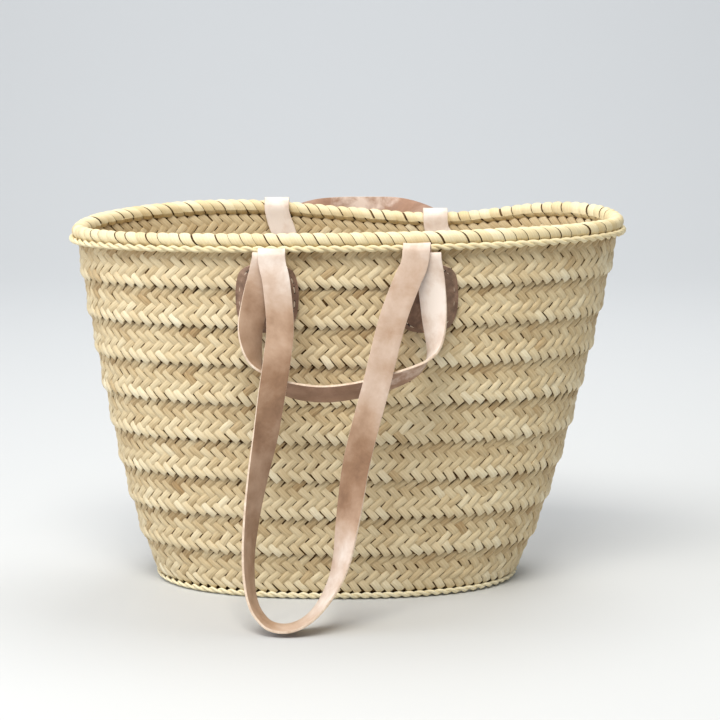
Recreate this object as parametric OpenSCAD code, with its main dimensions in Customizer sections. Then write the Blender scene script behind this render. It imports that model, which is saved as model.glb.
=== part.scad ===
// A market basket: braid sewn in rising courses round an oval base, a bound
// rim, and two pairs of leather handles held under stitched leather patches.
// Millimetres. The origin is the middle of the base, on the floor. X runs along
// the basket, Y to the back, Z up.

/* [Basket] */
// Length of the mouth across the braid
mouth_length = 520; // [420:1:640]
// Depth of the mouth across the braid, front to back
mouth_depth = 252; // [200:1:320]
// Length of the base
base_length = 331; // [270:1:400]
// Depth of the base, front to back
base_depth = 188; // [150:1:225]
// Height of the braid above the floor
wall_height = 339; // [280:1:410]
// Thickness of the braid
wall_thickness = 5; // [3.5:0.5:7]
// Number of braid courses from base to mouth
course_count = 9; // [9]
// How far the lower edge of each course stands out
course_lip = 2.5; // [1:0.5:5]
// Exponent of the oval: 2 is an ellipse, more is squarer
oval_power = 2.3; // [2:0.1:3]
// Exponent of the flare: less than 1 is fuller low down
flare_power = 0.64; // [0.5:0.01:1]
// Thickness of the base braid
base_thickness = 7.5; // [6:0.5:10]

/* [Hand-made unevenness] */
// How far the mouth is off the middle of the base, to the right
mouth_lean = 11; // [0:1:20]
// Rise of the mouth at its right end, and fall at its left end
end_rise = 4; // [0:1:8]
// Rise of the mouth at the back
back_rise = 10; // [0:1:14]
// Depth of the hollow in the back of the rim
back_hollow = 17; // [0:1:22]

/* [Rim and base cords] */
// Radius of the leaf-bound roll on the rim
roll_radius = 7; // [5:0.5:8]
// Radius of the twisted cord under the roll
rim_cord_radius = 3.4; // [2.8:0.1:4.2]
// How far the middle of the rim cord lies below the middle of the roll
rim_cord_drop = 7; // [5:0.1:8]
// Radius of the twisted cord round the base
base_cord_radius = 3.5; // [2.5:0.5:3.5]
// Radius of the twine that sews one course to the next
twine_radius = 0.8; // [0.5:0.1:1.2]

/* [Leather] */
// Width of the handle straps
strap_width = 25; // [20:1:32]
// Thickness of the handle straps
strap_thickness = 2.5; // [1.8:0.1:3.2]
// Half of the distance between the two ends of a front handle
front_reach = 73; // [60:1:95]
// How far the ends of the long front handle lie inside those of the short one
long_inset = 5; // [0:1:6]
// Half of the distance between the two ends of a back handle
back_reach = 81; // [66:1:100]
// How far the back handles sit to the right of the front ones
back_shift = 8; // [0:1:12]
// Distance from the top of the braid down to the line the handles fold on
fold_drop = 6; // [4:1:10]
// Radius of the core that each folded strap bends round
fold_radius = 1.5; // [1:0.1:2.5]
// Width of a leather patch
patch_width = 58; // [50:1:70]
// Height of a leather patch
patch_height = 67; // [55:1:80]
// Thickness of the patch leather
patch_thickness = 2; // [1.2:0.1:2.6]
// Drop from the top of the braid to the middle of a patch
patch_drop = 45; // [42:1:60]
// Room between the rim and a strap that goes over it
rim_room = 2; // [1:0.1:3]
// Number of stitches round a patch
stitch_count = 20; // [10:1:28]
// How far the short back handle is lifted from hanging, in degrees
back_handle_angle = 85; // [80:1:100]

/* [Hidden] */

leaf = "burlywood";
hide = "rosybrown";
stations = 56;           // places round the oval where the rings are worked out
gap = 0.3;               // clearance between pieces of leather
layer_pitch = strap_thickness + 3 * gap;  // one strap end to the next, across the lift
seam_gap = 0.1;          // clearance between sewn courses
fine = 48;               // sides of the fold cores
hollow_at = 74;          // where the hollow in the back rim is, in degrees
hollow_span = 26;        // and how far it spreads
course_pitch = (wall_height - base_thickness) / course_count;

// ---- the oval ----
function part_power(v, p) = sign(v) * pow(abs(v), p);
function half_length(z) = base_length / 2
    + (mouth_length - base_length) / 2 * pow(max(z, 0) / wall_height, flare_power);
function half_depth(z) = base_depth / 2
    + (mouth_depth - base_depth) / 2 * pow(max(z, 0) / wall_height, flare_power);
function lean(z) = mouth_lean * z / wall_height;
function rim_wave(a) = end_rise * cos(a) + back_rise * max(0, sin(a))
    - back_hollow * exp(-pow((a - hollow_at) / hollow_span, 2));
function wave(a, z) = rim_wave(a) * pow(max(z, 0) / wall_height, 3);

// A point of the wall: a is the angle round the oval, z the height before the
// rim's wave, and out the distance outwards.
function wall_point(a, z, out) = [
    lean(z) + (half_length(z) + out) * part_power(cos(a), 2 / oval_power),
    (half_depth(z) + out) * part_power(sin(a), 2 / oval_power),
    z + wave(a, z)];

// Angle of the wall point that lies at x, on the front (side -1) or back (1)
function wall_angle(x, z, side) =
    let (s = max(-1, min(1, (x - lean(z)) / half_length(z))))
    side * acos(part_power(s, oval_power / 2));

// Depth of the outside of the wall at a place given by x and true height
function wall_y(x, z, side) =
    let (flat = z - wave(wall_angle(x, z, side), z),
         s = min(1, abs(x - lean(flat)) / half_length(flat)))
    half_depth(flat) * pow(1 - pow(s, oval_power), 1 / oval_power);

// A closed ring: section is a list of [out, z], anticlockwise
module ring(section) {
    m = len(section);
    points = [for (i = [0:stations - 1], p = section)
        wall_point(i * 360 / stations - 180, p[1], p[0])];
    faces = [for (i = [0:stations - 1], j = [0:m - 1])
        let (k = (i + 1) % stations, n = (j + 1) % m)
        each [[i * m + j, i * m + n, k * m + n], [i * m + j, k * m + n, k * m + j]]];
    polyhedron(points, faces, convexity = 4);
}

function circle_section(out, z, r, sides, turn = 0) =
    [for (i = [0:sides - 1]) [out + r * cos(i * 360 / sides + turn),
                              z + r * sin(i * 360 / sides + turn)]];

// ---- base and wall ----
module base_panel() {
    color(leaf) linear_extrude(base_thickness)
        polygon([for (i = [0:stations - 1])
            let (p = wall_point(i * 360 / stations - 180, 0, 0)) [p[0], p[1]]]);
}

module base_welt_cord() {
    color(leaf) ring(circle_section(base_cord_radius + 0.2, base_cord_radius,
                                    base_cord_radius, 8));
}

module wall_course(i) {
    low = base_thickness + (i - 1) * course_pitch + seam_gap;
    high = base_thickness + i * course_pitch;
    color(leaf) ring([[-wall_thickness, low], [course_lip, low],
                      [course_lip, low + course_pitch / 4],
                      [0, high], [-wall_thickness, high]]);
}

module course_twine() {
    color("tan") for (i = [1:course_count - 1])
        ring(circle_section(-wall_thickness - twine_radius,
                            base_thickness + i * course_pitch, twine_radius, 4));
}

// ---- rim ----
roll_out = -wall_thickness / 2;
roll_z = wall_height + roll_radius * cos(15) + seam_gap;
cord_out = roll_out + sqrt(pow(roll_radius + rim_cord_radius + 0.2, 2) - pow(rim_cord_drop, 2));
cord_z = roll_z - rim_cord_drop;
cord_edge = cord_out + rim_cord_radius;

module rim_roll() {
    color(leaf) ring(circle_section(roll_out, roll_z, roll_radius, 12, 15));
}

module rim_cord() {
    color(leaf) ring(circle_section(cord_out, cord_z, rim_cord_radius, 8));
}

// ---- where the handles fold ----
// Both straps of a pair fold on one line: the short strap round the core, and
// the long strap outside it.
fold_z = wall_height - fold_drop;
short_bend = fold_radius + gap + strap_thickness / 2;
long_bend = short_bend + layer_pitch;
long_edge = long_bend + strap_thickness / 2;
near_x = front_reach - long_inset - strap_width / 2 - mouth_lean * fold_drop / wall_height;
fold_y = wall_y(mouth_lean - near_x, wall_height, -1) + cord_edge + 2 * gap + long_edge;
patch_z = wall_height - patch_drop;
patch_top = patch_z + patch_height / 2;
tab_bottom = patch_z - 0.6 * patch_height / 2;
flare_start = patch_z + 0.1 * patch_height;

function handle_x(side, end) = side < 0
    ? mouth_lean + end * front_reach
    : mouth_lean + back_shift + end * back_reach;

// Middle of the end of one strap; the long front handle's ends lie further in
function strap_x(side, end, layer) = handle_x(side, end)
    - end * (side < 0 && layer == 0 ? long_inset : 0);

// Face that the strap ends lie on: the wall under the edge that reaches furthest
function wall_face(side, end, z) = course_lip + gap
    + max([for (e = [-1, 0, 1]) wall_y(handle_x(side, end)
        + e * (strap_width / 2 + long_inset), z, side)]);

// How far the strap ends have left the wall, on their way out to the fold
function fold_lift(side, end, z) =
    (fold_y - long_edge - wall_face(side, end, fold_z))
    * pow(max(0, (z - flare_start) / (fold_z - flare_start)), 2);

// Middle of a strap end at height z; layer 0 is the long strap, 1 the short one
function tab_y(side, end, z, layer) = wall_face(side, end, z) + fold_lift(side, end, z)
    + strap_thickness / 2 + layer * layer_pitch;

// ---- ribbons ----
level = 6;                // steps at each end of a ribbon that stay nearly level
function unit(v) = v / norm(v);

// A smooth path through stations by Catmull-Rom, steps pieces to a span
function spline(p0, p1, p2, p3, u) = 0.5 * (2 * p1 + (p2 - p0) * u
    + (2 * p0 - 5 * p1 + 4 * p2 - p3) * u * u + (3 * p1 - p0 - 3 * p2 + p3) * u * u * u);
function smooth_path(list, steps) =
    let (n = len(list) - 1, g = function (i) list[max(0, min(n, i))])
    concat([for (i = [0:n - 1], k = [0:steps - 1])
        spline(g(i - 1), g(i), g(i + 1), g(i + 2), k / steps)], [list[n]]);

// A ribbon of leather. Each station is [x, y, z, turn, lift]: the width points
// along X at turn 0 and along Y at turn 90, and lift tips it up. Near its two ends
// the width stays level, so that it meets the fold line squarely.
module ribbon(path) {
    n = len(path);
    at = function (i) [path[i][0], path[i][1], path[i][2]];
    points = [for (i = [0:n - 1])
        let (along = unit(at(min(i + 1, n - 1)) - at(max(i - 1, 0))),
             turn = path[i][3], lift = path[i][4],
             wide = [cos(turn) * cos(lift), sin(turn) * cos(lift), sin(lift)],
             square = wide - min(1, i / level, (n - 1 - i) / level) * (wide * along) * along,
             across = unit(square) * strap_width / 2,
             face = unit(cross(along, across)) * strap_thickness / 2)
        each [at(i) - across - face, at(i) + across - face,
              at(i) + across + face, at(i) - across + face]];
    sides = [for (i = [0:n - 2], j = [0:3])
        let (a = i * 4 + j, b = i * 4 + (j + 1) % 4)
        each [[a, a + 4, b + 4], [a, b + 4, b]]];
    polyhedron(points, concat([[0, 1, 2, 3]], sides,
        [[4 * n - 1, 4 * n - 2, 4 * n - 3, 4 * n - 4]]), convexity = 6);
}

// ---- strap ends, held under the patches ----
// One end of a strap from under the patch up to the fold line
module tab(side, end, layer) {
    x = strap_x(side, end, layer);
    ribbon([for (k = [0:6])
        let (z = tab_bottom + (fold_z - 2 * gap - tab_bottom) * k / 6)
        [x, side * tab_y(side, end, z, layer), z, 0, 0]]);
}

// The round core inside the fold of a short strap
module fold_core(side, end) {
    translate([handle_x(side, end) - strap_width / 2, side * fold_y, fold_z])
        rotate([0, 90, 0]) cylinder(h = strap_width, r = fold_radius, $fn = fine);
}

module front_long_ends() {
    color(hide) for (end = [-1, 1]) tab(-1, end, 0);
}

module front_short_ends() {
    color(hide) for (end = [-1, 1]) {
        tab(-1, end, 1);
        fold_core(-1, end);
    }
}

module back_short_ends() {
    color(hide) for (end = [-1, 1]) {
        tab(1, end, 1);
        fold_core(1, end);
    }
}

// Middle of the roll on the back rim where a strap goes over it
function back_roll(end) = let (a = wall_angle(handle_x(1, end), wall_height, 1))
    [wall_point(a, roll_z, roll_out)[1], roll_z + wave(a, roll_z)];
over_roll = roll_radius + rim_room + strap_thickness / 2;
over_cord = rim_cord_radius + rim_room + strap_thickness / 2;

// One end of the long back strap: up the outside, clear of the cord, and over
module over_rim_end(end) {
    x = handle_x(1, end);
    roll = back_roll(end);
    top_y = tab_y(1, end, fold_z, 0);
    cord = roll + [cord_out - roll_out, -rim_cord_drop];
    below = [for (k = [0:5])
        let (z = tab_bottom + (fold_z - tab_bottom) * k / 5)
        [x, tab_y(1, end, z, 0), z, 0, 0]];
    above = [for (a = [0, 30, 60]) [x, max(top_y * (1 - a / 60) + cord[0] * a / 60,
            cord[0] + over_cord * cos(a)), max(fold_z + 5, cord[1] + over_cord * sin(a)), 0, 0]];
    over = [for (a = [30, 50, 70, 90, 110, 128])
        [x, roll[0] + over_roll * cos(a), roll[1] + over_roll * sin(a), 0, 0]];
    ribbon(concat(below, above, over));
}

module back_long_ends() {
    color(hide) for (end = [-1, 1]) over_rim_end(end);
}

// ---- handles ----
// Stations of the handles in their own measures: place between the two ends
// (-1 to 1), distance out from the fold line for a strap 25 mm wide, height as a
// share of the fold's height above the floor, turn and lift.
reach_out = strap_width / 25;
long_loop = [
    [-1.00, 6, 1.000, 0, 0], [-0.98, 8, 0.976, 0, 0], [-0.93, 12, 0.932, 0, 0],
    [-0.88, 19, 0.815, 0, 0], [-0.93, 27, 0.717, 5, 0], [-1.00, 32, 0.629, 15, 0],
    [-1.08, 35, 0.522, 28, 0], [-1.18, 38, 0.414, 45, 0], [-1.26, 42, 0.310, 58, 0],
    [-1.31, 48, 0.205, 68, 0], [-1.30, 54, 0.125, 74, 0], [-1.25, 60, 0.075, 79, 0],
    [-1.16, 65, 0.042, 83, 0], [-1.02, 69, 0.018, 87, 0], [-0.82, 71, 0.011, 90, 0],
    [-0.61, 70, 0.022, 94, 0], [-0.42, 67, 0.050, 99, 0], [-0.26, 63, 0.092, 107, 0],
    [-0.13, 57, 0.143, 117, 0], [-0.05, 51, 0.200, 129, 0], [0.00, 46, 0.268, 142, 0],
    [0.06, 42, 0.351, 157, 0], [0.13, 37, 0.444, 169, 0], [0.24, 33, 0.541, 176, 0],
    [0.39, 28, 0.658, 180, 0], [0.61, 18, 0.834, 180, 0], [0.82, 11, 0.935, 180, 0],
    [0.95, 8, 0.976, 180, 0], [1.00, 6, 1.000, 180, 0]];
short_loop = [
    [-1.00, 3, 1.000, 0, 0], [-1.05, 3.4, 0.950, 0, 0], [-1.14, 5, 0.870, 12, 0],
    [-1.20, 9, 0.800, 32, 0], [-1.15, 12, 0.727, 58, -10], [-1.00, 13, 0.680, 76, -28],
    [-0.75, 13, 0.643, 88, -42], [-0.35, 13, 0.627, 90, -45], [0.05, 13, 0.634, 90, -45],
    [0.45, 13, 0.655, 90, -44], [0.80, 13, 0.685, 94, -38], [1.00, 12, 0.720, 102, -24],
    [1.09, 10, 0.765, 122, -8], [1.09, 6, 0.840, 152, 0], [1.05, 3.5, 0.930, 172, 0],
    [1.00, 3, 1.000, 180, 0]];
raised_loop = [
    [-1.00, 3, 1.000, 0, 0], [-1.00, 5, 0.950, 0, 0], [-0.96, 8, 0.870, 2, 0],
    [-0.85, 10, 0.790, 6, 0], [-0.69, 11, 0.725, 20, 0], [-0.47, 12, 0.675, 48, 0],
    [-0.17, 13, 0.645, 75, 0], [0.15, 13, 0.636, 90, 0], [0.45, 13, 0.652, 112, 0],
    [0.68, 12, 0.700, 140, 0], [0.84, 11, 0.770, 164, 0], [0.95, 8, 0.850, 175, 0],
    [1.00, 5, 0.940, 180, 0], [1.00, 3, 1.000, 180, 0]];
// The loop inside the basket: its second number is the distance in from the wall,
// and its third is the share of the height above the base panel.
inner_loop = [
    [-1.00, 0, 1.00, 0, 0], [-0.97, 0, 0.97, 0, 0], [-0.91, 1, 0.93, 0, 0],
    [-0.80, 3, 0.84, 0, 0], [-0.75, 8, 0.71, 15, 0], [-0.82, 16, 0.55, 40, 0],
    [-0.90, 24, 0.39, 65, 0], [-0.90, 30, 0.22, 80, 0], [-0.76, 34, 0.09, 88, 0],
    [-0.45, 36, 0.015, 90, 0], [-0.10, 36, 0, 90, 0], [0.25, 36, 0.015, 90, 0],
    [0.56, 34, 0.09, 92, 0], [0.76, 30, 0.22, 100, 0], [0.88, 24, 0.39, 118, 0],
    [1.00, 16, 0.55, 145, 0], [1.12, 8, 0.71, 168, 0], [1.16, 3, 0.84, 180, 0],
    [1.10, 1, 0.93, 180, 0], [1.02, 0, 0.97, 180, 0], [1.00, 0, 1.00, 180, 0]];

module front_long_strap() {
    color(hide) ribbon(smooth_path([for (s = long_loop)
        [mouth_lean + s[0] * (front_reach - long_inset), -fold_y - max(s[1] * reach_out, long_bend),
         strap_thickness / 2 + 0.3 + (fold_z - strap_thickness / 2 - 0.3) * s[2],
         s[3], s[4]]], 3));
}

module front_short_strap() {
    color(hide) ribbon(smooth_path([for (s = short_loop)
        [mouth_lean + s[0] * front_reach, -fold_y - max(s[1] * reach_out, short_bend),
         fold_z * s[2], s[3], s[4]]], 3));
}

// The short back handle, made hanging and then swung up behind the basket
module back_short_strap() {
    color(hide) translate([0, fold_y, fold_z]) rotate([back_handle_angle, 0, 0])
        translate([0, -fold_y, -fold_z])
        mirror([0, 1, 0]) ribbon(smooth_path([for (s = raised_loop)
            [handle_x(1, s[0]), -fold_y - max(s[1] * reach_out, short_bend),
             fold_z * s[2], s[3], s[4]]], 3));
}

// The long back handle, dropped inside the basket on to its base
inside_floor = base_thickness + strap_thickness / 2 + gap;
function inside_y(x, z) = min([for (e = [-0.5, 0.5]) wall_y(x + e * strap_width, z, 1)])
    - wall_thickness - 2 * twine_radius - patch_thickness - strap_thickness / 2 - 4 * gap;
module back_long_strap() {
    left = back_roll(-1);
    right = back_roll(1);
    color(hide) ribbon(smooth_path([for (s = inner_loop)
        let (x = handle_x(1, s[0]),
             top = left + (right - left) * max(0, min(1, (s[0] + 1) / 2)),
             z = inside_floor + (top[1] - inside_floor) * s[2])
        [x, min(top[0] - over_roll, inside_y(x, z)) - s[1], z, s[3], s[4]]], 3));
}

// ---- patches ----
spokes = 24;
patch_rings = [0.5, 0.75, 0.9, 1];
function ramp(v, low, high) = let (s = max(0, min(1, (v - low) / (high - low)))) s * s * (3 - 2 * s);

// Inner face of a patch, over the strap ends in the middle and on the wall round them
function patch_y(side, end, u, z) =
    let (x = handle_x(side, end) + u,
         over = (1 - ramp(abs(u), strap_width / 2 + 3, patch_width / 2 - 2.5))
             * (1 - ramp(patch_z - z, patch_height * 0.36, patch_height * 0.48)),
         low = wall_y(x, z, side) + course_lip + 2 * gap,
         high = tab_y(side, end, z, 1) + strap_thickness / 2 + 3 * gap)
    low + max(0, high - low) * over;

function oval(s, angle, w, h) = [s * w / 2 * part_power(cos(angle), 0.8),
                                 s * h / 2 * part_power(sin(angle), 0.8)];

// A sheet of leather whose inner face is given by y_at(u, z)
module sheet(side, end, w, h, thickness, y_at) {
    x = handle_x(side, end);
    flat = concat([[0, 0]], [for (s = patch_rings, k = [0:spokes - 1])
        oval(s, k * 360 / spokes, w, h)]);
    n = len(flat);
    points = [for (t = [0, thickness], p = flat)
        [x + p[0], side * (y_at(p[0], patch_z + p[1]) + t), patch_z + p[1]]];
    rings = len(patch_rings);
    disc = concat([for (k = [0:spokes - 1]) [0, 1 + k, 1 + (k + 1) % spokes]],
        [for (r = [0:rings - 2], k = [0:spokes - 1])
            let (a = 1 + r * spokes + k, b = 1 + r * spokes + (k + 1) % spokes)
            each [[a, a + spokes, b + spokes], [a, b + spokes, b]]]);
    edge = [for (k = [0:spokes - 1])
        let (a = 1 + (rings - 1) * spokes + k, b = 1 + (rings - 1) * spokes + (k + 1) % spokes)
        each [[a, a + n, b + n], [a, b + n, b]]];
    shell = concat(disc, [for (f = disc) [f[0] + n, f[2] + n, f[1] + n]], edge);
    polyhedron(points, side < 0 ? [for (f = shell) [f[0], f[2], f[1]]] : shell, convexity = 4);
}

module outer_patch(side, end) {
    color("sienna") sheet(side, end, patch_width, patch_height, patch_thickness,
        function (u, z) patch_y(side, end, u, z));
}

// The backing patch lies on the inside of the wall
module inner_patch(side, end) {
    color(hide) sheet(side, end, patch_width - 6, patch_height - 6, patch_thickness,
        function (u, z) wall_y(handle_x(side, end) + u, z, side)
            - wall_thickness - 2 * twine_radius - patch_thickness - 2 * gap);
}

// Stitches lie on the patch just inside its edge, each along the edge
stitch_inset = 8;
stitch_size = [5, 0.9, 0.9];
module stitches(side, end) {
    x = handle_x(side, end);
    color("ivory") for (k = [0:stitch_count - 1]) {
        a = (k + 0.5) * 360 / stitch_count;
        p = oval(1, a, patch_width - stitch_inset, patch_height - stitch_inset);
        q = oval(1, a + 2, patch_width - stitch_inset, patch_height - stitch_inset);
        d = unit(q - p);
        y_at = function (s) patch_y(side, end, p[0] + s * d[0], patch_z + p[1] + s * d[1]);
        y = max([for (s = [-0.5, 0, 0.5]) y_at(s * stitch_size[0])]) + patch_thickness;
        translate([x + p[0], side * (y + stitch_size[1] / 2 + 5 * gap), patch_z + p[1]])
            rotate([0, -atan2(d[1], d[0]), 0]) cube(stitch_size, center = true);
    }
}

module front_left_patch() { outer_patch(-1, -1); }
module front_right_patch() { outer_patch(-1, 1); }
module back_left_patch() { outer_patch(1, -1); }
module back_right_patch() { outer_patch(1, 1); }
module front_left_backing() { inner_patch(-1, -1); }
module front_right_backing() { inner_patch(-1, 1); }
module back_left_backing() { inner_patch(1, -1); }
module back_right_backing() { inner_patch(1, 1); }
module front_left_stitches() { stitches(-1, -1); }
module front_right_stitches() { stitches(-1, 1); }
module back_left_stitches() { stitches(1, -1); }
module back_right_stitches() { stitches(1, 1); }

base_panel();
base_welt_cord();
for (i = [1:course_count])
    wall_course(i);
course_twine();
rim_roll();
rim_cord();
front_left_patch();
front_right_patch();
back_left_patch();
back_right_patch();
front_left_backing();
front_right_backing();
back_left_backing();
back_right_backing();
front_left_stitches();
front_right_stitches();
back_left_stitches();
back_right_stitches();
front_long_ends();
front_short_ends();
back_long_ends();
back_short_ends();
front_long_strap();
front_short_strap();
back_long_strap();
back_short_strap();
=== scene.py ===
# %% [markdown]
# # A woven market basket
# The real basket is one long braid of dried palm leaf. It is coiled and sewn into nine courses
# round an oval base, bound along the rim, and given two pairs of leather handles. This lesson
# builds every leaf of the braid as a real shape, then the cords, the leather and the light.
# The design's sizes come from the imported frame, so each piece lands where the design says.

# %% Load the frame
import math

import bmesh
import bpy
import numpy as np
from mathutils import Matrix, Vector


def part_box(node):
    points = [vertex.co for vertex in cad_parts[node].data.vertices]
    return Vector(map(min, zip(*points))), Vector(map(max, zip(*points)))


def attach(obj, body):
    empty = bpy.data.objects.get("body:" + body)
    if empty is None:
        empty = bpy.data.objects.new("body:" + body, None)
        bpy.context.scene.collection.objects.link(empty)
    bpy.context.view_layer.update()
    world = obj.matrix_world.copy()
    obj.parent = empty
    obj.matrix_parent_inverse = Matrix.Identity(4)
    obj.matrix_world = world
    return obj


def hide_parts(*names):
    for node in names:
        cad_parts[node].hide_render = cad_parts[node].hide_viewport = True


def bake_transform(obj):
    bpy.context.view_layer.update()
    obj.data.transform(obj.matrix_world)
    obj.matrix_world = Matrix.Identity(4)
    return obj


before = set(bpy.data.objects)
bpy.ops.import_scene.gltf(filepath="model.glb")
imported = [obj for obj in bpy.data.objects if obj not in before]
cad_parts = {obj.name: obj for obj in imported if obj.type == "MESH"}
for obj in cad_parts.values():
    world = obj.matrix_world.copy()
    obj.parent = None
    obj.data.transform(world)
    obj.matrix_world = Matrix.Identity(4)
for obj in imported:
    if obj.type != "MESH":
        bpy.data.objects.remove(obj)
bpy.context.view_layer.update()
MM = 0.001
COURSES = 9

# %% [markdown]
# ## Camera
# A long lens stands about two metres away and looks slightly down on a basket that stands on
# the floor. A long lens keeps the mouth's oval from looking stretched.

# %% Camera
CAMERA_PLACE = Vector((0.023, -2.066, 0.574))
CAMERA_DOWN = math.radians(9.9)
FOCAL_LENGTH = 107.1
camera_data = bpy.data.cameras.new("camera")
camera_data.lens = FOCAL_LENGTH
camera_data.sensor_width = 36.0
camera = bpy.data.objects.new("camera", camera_data)
camera.location = CAMERA_PLACE
camera.rotation_euler = (math.radians(90) - CAMERA_DOWN, 0, 0)
bpy.context.scene.collection.objects.link(camera)
bpy.context.scene.camera = camera

# %% [markdown]
# ## The basket's form
# Everything on the basket follows one surface: an oval that widens from the base to the mouth.
# The oval is a superellipse, a little squarer than an ellipse. The mouth leans to the right and
# its rim waves, as on most hand-sewn baskets. One function gives a point of that surface from
# the angle round the oval, the height and the distance outwards, so nothing has to be fitted.

# %% The form, measured from the frame
_, base_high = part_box("base_panel")
roll_low, roll_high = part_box("rim_roll")

OVAL_POWER = 2.3
FLARE_POWER = 0.64
END_RISE = 4 * MM
BACK_RISE = 10 * MM
BACK_HOLLOW = 17 * MM
HOLLOW_AT = math.radians(74)
HOLLOW_SPAN = math.radians(26)
WALL = 5 * MM
ROLL_RADIUS = 7 * MM
CORD_RADIUS = 3.4 * MM
BASE_CORD_RADIUS = 3.5 * MM
BASE_TOP = base_high.z
WALL_TOP = 0.339
ROLL_OUT = -WALL / 2
ROLL_FLAT = math.radians(15)  # half of one of the twelve sides that the design's roll has
SEAM_GAP = 0.1 * MM
CORD_GAP = 0.2 * MM
ROLL_Z = WALL_TOP + ROLL_RADIUS * math.cos(ROLL_FLAT) + SEAM_GAP
CORD_DROP = 7 * MM
CORD_OUT = ROLL_OUT + math.sqrt((ROLL_RADIUS + CORD_RADIUS + CORD_GAP) ** 2 - CORD_DROP ** 2)
CORD_Z = ROLL_Z - CORD_DROP
COURSE_PITCH = (WALL_TOP - BASE_TOP) / COURSES
MOUTH_LEAN = 11 * MM

base_half = Vector((base_high.x, base_high.y))
flare_at_roll = (ROLL_Z / WALL_TOP) ** FLARE_POWER
roll_half = Vector(((roll_high.x - roll_low.x) / 2, (roll_high.y - roll_low.y) / 2))
roll_edge = Vector((1, 1)) * (ROLL_OUT + ROLL_RADIUS)
mouth_half = base_half + (roll_half - roll_edge - base_half) / flare_at_roll
print("mouth half sizes, mm:", [round(v / MM, 1) for v in mouth_half])


def part_power(v, p):
    return np.sign(v) * np.abs(v) ** p


def half_sizes(z):
    share = (np.maximum(z, 0) / WALL_TOP) ** FLARE_POWER
    return (base_half.x + (mouth_half.x - base_half.x) * share,
            base_half.y + (mouth_half.y - base_half.y) * share)


def wave(a, z):
    rim = (END_RISE * np.cos(a) + BACK_RISE * np.maximum(0, np.sin(a))
           - BACK_HOLLOW * np.exp(-((a - HOLLOW_AT) / HOLLOW_SPAN) ** 2))
    return rim * (np.maximum(z, 0) / WALL_TOP) ** 3


def wall_point(a, z, out):
    """Points at angle a round the oval, height z before the rim's wave, and out outwards."""
    a, z, out = np.broadcast_arrays(np.asarray(a, float), z, out)
    half_x, half_y = half_sizes(z)
    x = MOUTH_LEAN * z / WALL_TOP + (half_x + out) * part_power(np.cos(a), 2 / OVAL_POWER)
    y = (half_y + out) * part_power(np.sin(a), 2 / OVAL_POWER)
    return np.stack((x, y, z + wave(a, z)), axis=-1)


def wall_y(x, z, side):
    """Depth of the wall's outside at x and true height z, in front (side -1) or behind (1)."""
    half_x, _ = half_sizes(z)
    share = np.clip((x - MOUTH_LEAN * z / WALL_TOP) / half_x, -1, 1)
    a = side * np.arccos(part_power(share, OVAL_POWER / 2))
    flat = z - wave(a, z)
    half_x, half_y = half_sizes(flat)
    share = np.minimum(1, np.abs(x - MOUTH_LEAN * flat / WALL_TOP) / half_x)
    return half_y * (1 - share ** OVAL_POWER) ** (1 / OVAL_POWER)


def way_round(z, out):
    """Length round the oval at one height, and a function from a share of it to an angle."""
    a = np.linspace(-math.pi, math.pi, 2881)
    steps = np.linalg.norm(np.diff(wall_point(a, z, out), axis=0), axis=1)
    length = np.concatenate(([0], np.cumsum(steps)))
    return length[-1], lambda share: np.interp(np.mod(share, 1) * length[-1], length, a)


# %% [markdown]
# ## Small helpers
# A piece is made flat with bmesh operators, repeated with an Array modifier, and then bent
# round the oval by moving its vertices. The helpers do the common steps: settle applies the
# modifiers, take_mesh also removes the object, points and place read and write all vertices at
# once, edit_mesh runs bmesh operators on a mesh, and join puts meshes into one.

# %% Helpers for meshes
MERGE_REACH = 0.02 * MM


def new_piece(name, bm_or_mesh, *materials):
    if isinstance(bm_or_mesh, bmesh.types.BMesh):
        mesh = bpy.data.meshes.new(name)
        bm_or_mesh.to_mesh(mesh)
        bm_or_mesh.free()
    else:
        mesh = bm_or_mesh
    mesh.name = name
    piece = bpy.data.objects.new(name, mesh)
    bpy.context.scene.collection.objects.link(piece)
    for material in materials:
        mesh.materials.append(material)
    return piece


def settle(piece):
    """Applies a piece's modifiers, so that its own mesh is the finished one."""
    graph = bpy.context.evaluated_depsgraph_get()
    mesh = bpy.data.meshes.new_from_object(piece.evaluated_get(graph))
    piece.modifiers.clear()
    piece.data = mesh
    return piece


def take_mesh(piece):
    """A piece's finished mesh, with the piece itself removed."""
    mesh = settle(piece).data
    bpy.data.objects.remove(piece)
    return mesh


def edit_mesh(mesh, change):
    """Runs change, a function of a bmesh, on a mesh."""
    bm = bmesh.new()
    bm.from_mesh(mesh)
    change(bm)
    bm.to_mesh(mesh)
    bm.free()


def thicken(piece, thickness, offset):
    """A Solidify modifier: offset -1 grows inwards, 0 both ways and 1 outwards."""
    layer = piece.modifiers.new("thickness", "SOLIDIFY")
    layer.thickness = thickness
    layer.offset = offset
    return layer


def round_edges(piece, width):
    """Rounds the cut edges of a sheet of hide."""
    cut = piece.modifiers.new("cut", "BEVEL")
    cut.width = width
    cut.segments = 2
    cut.limit_method = "ANGLE"
    cut.angle_limit = math.radians(50)


def second_material(mesh):
    """Puts a whole mesh in the second material of the piece that it is joined into."""
    mesh.polygons.foreach_set("material_index", [1] * len(mesh.polygons))
    return mesh


def turned(bm, angle, axis):
    """Turns a bmesh about an axis through the origin."""
    bmesh.ops.rotate(bm, verts=bm.verts, cent=(0, 0, 0), matrix=Matrix.Rotation(angle, 3, axis))


def points(mesh):
    flat = np.empty(len(mesh.vertices) * 3)
    mesh.vertices.foreach_get("co", flat)
    return flat.reshape(-1, 3)


def place(mesh, new_points):
    mesh.vertices.foreach_set("co", np.ascontiguousarray(new_points, float).ravel())
    mesh.update()


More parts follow.
